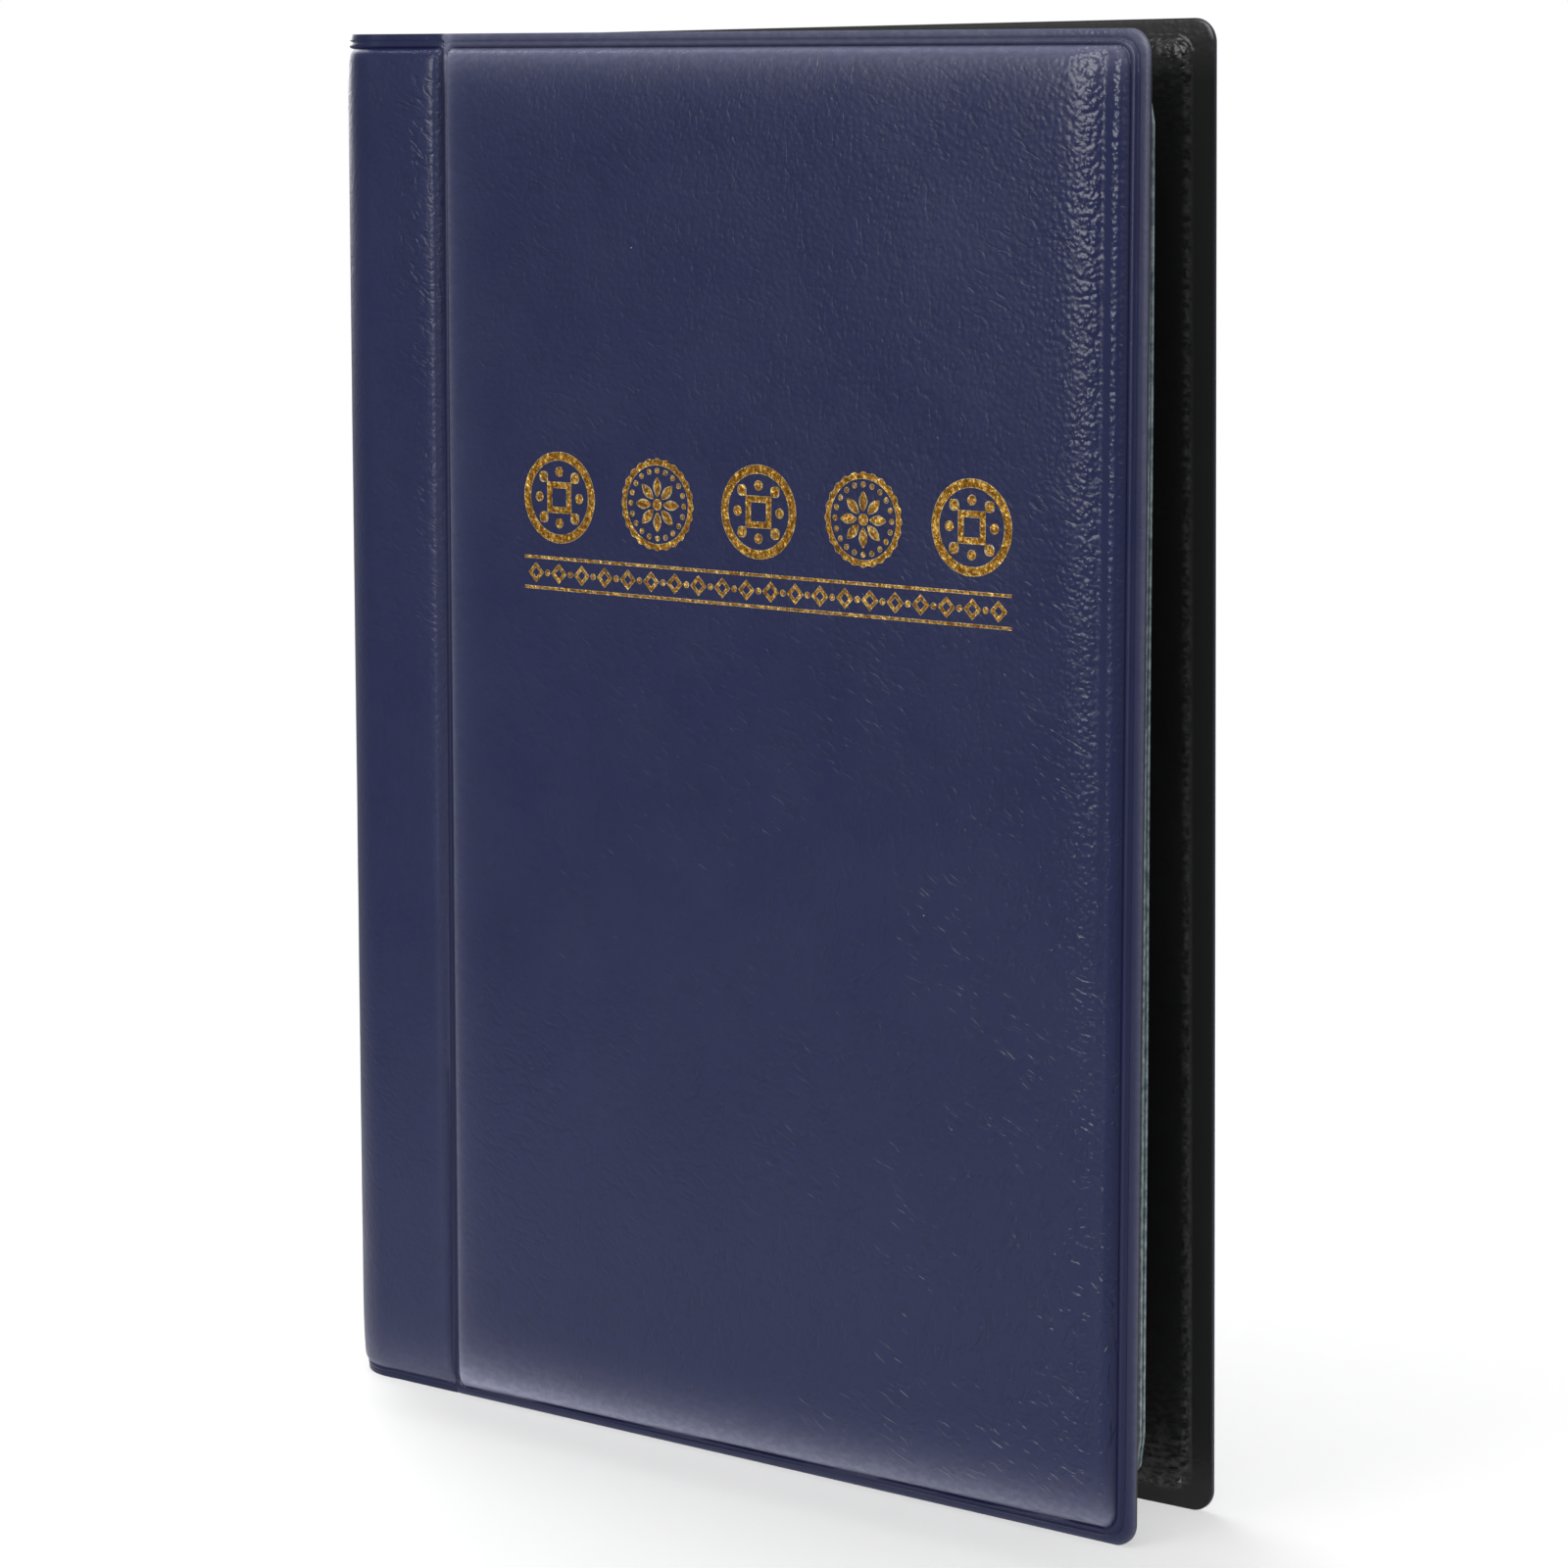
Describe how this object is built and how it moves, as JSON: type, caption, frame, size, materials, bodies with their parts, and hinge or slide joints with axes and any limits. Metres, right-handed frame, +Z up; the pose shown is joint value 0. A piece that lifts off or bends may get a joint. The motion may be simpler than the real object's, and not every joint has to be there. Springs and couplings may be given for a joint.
{
  "type": "coin album",
  "caption": "Upright album with a padded welded cover, a rounded spine and clear leaves of pockets that hold coins in a grid.",
  "frame": {"origin": "middle of the footprint, on the surface that the album stands on", "axes": "+X from the spine to the fore-edge, +Y from the front cover to the back cover, +Z up along the spine"},
  "size_m": [0.125, 0.017, 0.175],
  "materials": {
    "navy_skin": "fine leather grain, satin",
    "black_lining": "fine leather grain, satin",
    "clear_film": "clear soft film, glossy",
    "binding_plastic": "satin",
    "foam": "fine open foam, matt",
    "board": "grey pulp board, matt",
    "gold_foil": "hot-stamped foil, satin"
  },
  "bodies": {
    "spine": {"spine_skin": "navy_skin", "spine_foam": "foam", "spine_lining": "black_lining", "binding_block": "binding_plastic"},
    "front_band": {"front_band_skin": "navy_skin", "front_band_foam": "foam", "front_band_lining": "black_lining"},
    "back_band": {"back_band_skin": "navy_skin", "back_band_foam": "foam", "back_band_lining": "black_lining"},
    "front_cover": {"front_cover_skin": "navy_skin", "front_cover_foam": "foam", "front_cover_board": "board", "front_cover_lining": "black_lining"},
    "back_cover": {"back_cover_skin": "navy_skin", "back_cover_foam": "foam", "back_cover_board": "board", "back_cover_lining": "black_lining"},
    "leaf_01": {"leaf_01_backing_film": "clear_film", "leaf_01_pocket_film": "clear_film"},
    "leaf_02": {"leaf_02_backing_film": "clear_film", "leaf_02_pocket_film": "clear_film"},
    "leaf_03": {"leaf_03_backing_film": "clear_film", "leaf_03_pocket_film": "clear_film"},
    "leaf_04": {"leaf_04_backing_film": "clear_film", "leaf_04_pocket_film": "clear_film"},
    "leaf_05": {"leaf_05_backing_film": "clear_film", "leaf_05_pocket_film": "clear_film"},
    "leaf_06": {"leaf_06_backing_film": "clear_film", "leaf_06_pocket_film": "clear_film"},
    "leaf_07": {"leaf_07_backing_film": "clear_film", "leaf_07_pocket_film": "clear_film"},
    "leaf_08": {"leaf_08_backing_film": "clear_film", "leaf_08_pocket_film": "clear_film"},
    "leaf_09": {"leaf_09_backing_film": "clear_film", "leaf_09_pocket_film": "clear_film"},
    "leaf_10": {"leaf_10_backing_film": "clear_film", "leaf_10_pocket_film": "clear_film"}
  },
  "joints": [
    {"name": "front_band_fold", "type": "hinge", "parent": "spine", "child": "front_band", "pos_m": [-0.06031, -0.00601, 0], "axis": [0, 0, -1], "range_deg": [0, 80]},
    {"name": "front_cover_hinge", "type": "hinge", "parent": "front_band", "child": "front_cover", "pos_m": [-0.0425, -0.007, 0], "axis": [0, 0, -1], "range_deg": [0, 60]},
    {"name": "back_band_fold", "type": "hinge", "parent": "spine", "child": "back_band", "pos_m": [-0.06031, 0.00601, 0], "axis": [0, 0, 1], "range_deg": [0, 80]},
    {"name": "back_cover_hinge", "type": "hinge", "parent": "back_band", "child": "back_cover", "pos_m": [-0.0425, 0.007, 0], "axis": [0, 0, 1], "range_deg": [0, 60]},
    {"name": "leaf_01_turn", "type": "hinge", "parent": "spine", "child": "leaf_01", "pos_m": [-0.0556, -0.0051, 0], "axis": [0, 0, -1], "range_deg": [0, 70.5]},
    {"name": "leaf_02_turn", "type": "hinge", "parent": "spine", "child": "leaf_02", "pos_m": [-0.0556, -0.0043, 0], "axis": [0, 0, -1], "range_deg": [0, 56.1]},
    {"name": "leaf_03_turn", "type": "hinge", "parent": "spine", "child": "leaf_03", "pos_m": [-0.0556, -0.0035, 0], "axis": [0, 0, -1], "range_deg": [0, 41.7]},
    {"name": "leaf_04_turn", "type": "hinge", "parent": "spine", "child": "leaf_04", "pos_m": [-0.0556, -0.0027, 0], "axis": [0, 0, -1], "range_deg": [0, 27.3]},
    {"name": "leaf_05_turn", "type": "hinge", "parent": "spine", "child": "leaf_05", "pos_m": [-0.0556, -0.0019, 0], "axis": [0, 0, -1], "range_deg": [0, 12.9]},
    {"name": "leaf_06_turn", "type": "hinge", "parent": "spine", "child": "leaf_06", "pos_m": [-0.0556, -0.0011, 0], "axis": [0, 0, 1], "range_deg": [0, 12.9]},
    {"name": "leaf_07_turn", "type": "hinge", "parent": "spine", "child": "leaf_07", "pos_m": [-0.0556, -0.0003, 0], "axis": [0, 0, 1], "range_deg": [0, 27.3]},
    {"name": "leaf_08_turn", "type": "hinge", "parent": "spine", "child": "leaf_08", "pos_m": [-0.0556, 0.0005, 0], "axis": [0, 0, 1], "range_deg": [0, 41.7]},
    {"name": "leaf_09_turn", "type": "hinge", "parent": "spine", "child": "leaf_09", "pos_m": [-0.0556, 0.0013, 0], "axis": [0, 0, 1], "range_deg": [0, 56.1]},
    {"name": "leaf_10_turn", "type": "hinge", "parent": "spine", "child": "leaf_10", "pos_m": [-0.0556, 0.0021, 0], "axis": [0, 0, 1], "range_deg": [0, 70.5]}
  ],
  "couplings": [
    {"joint": "leaf_01_turn", "follows": "front_band_fold", "ratio": 0.88},
    {"joint": "leaf_02_turn", "follows": "front_band_fold", "ratio": 0.7},
    {"joint": "leaf_03_turn", "follows": "front_band_fold", "ratio": 0.52},
    {"joint": "leaf_04_turn", "follows": "front_band_fold", "ratio": 0.34},
    {"joint": "leaf_05_turn", "follows": "front_band_fold", "ratio": 0.16},
    {"joint": "leaf_06_turn", "follows": "back_band_fold", "ratio": 0.16},
    {"joint": "leaf_07_turn", "follows": "back_band_fold", "ratio": 0.34},
    {"joint": "leaf_08_turn", "follows": "back_band_fold", "ratio": 0.52},
    {"joint": "leaf_09_turn", "follows": "back_band_fold", "ratio": 0.7},
    {"joint": "leaf_10_turn", "follows": "back_band_fold", "ratio": 0.88}
  ]
}
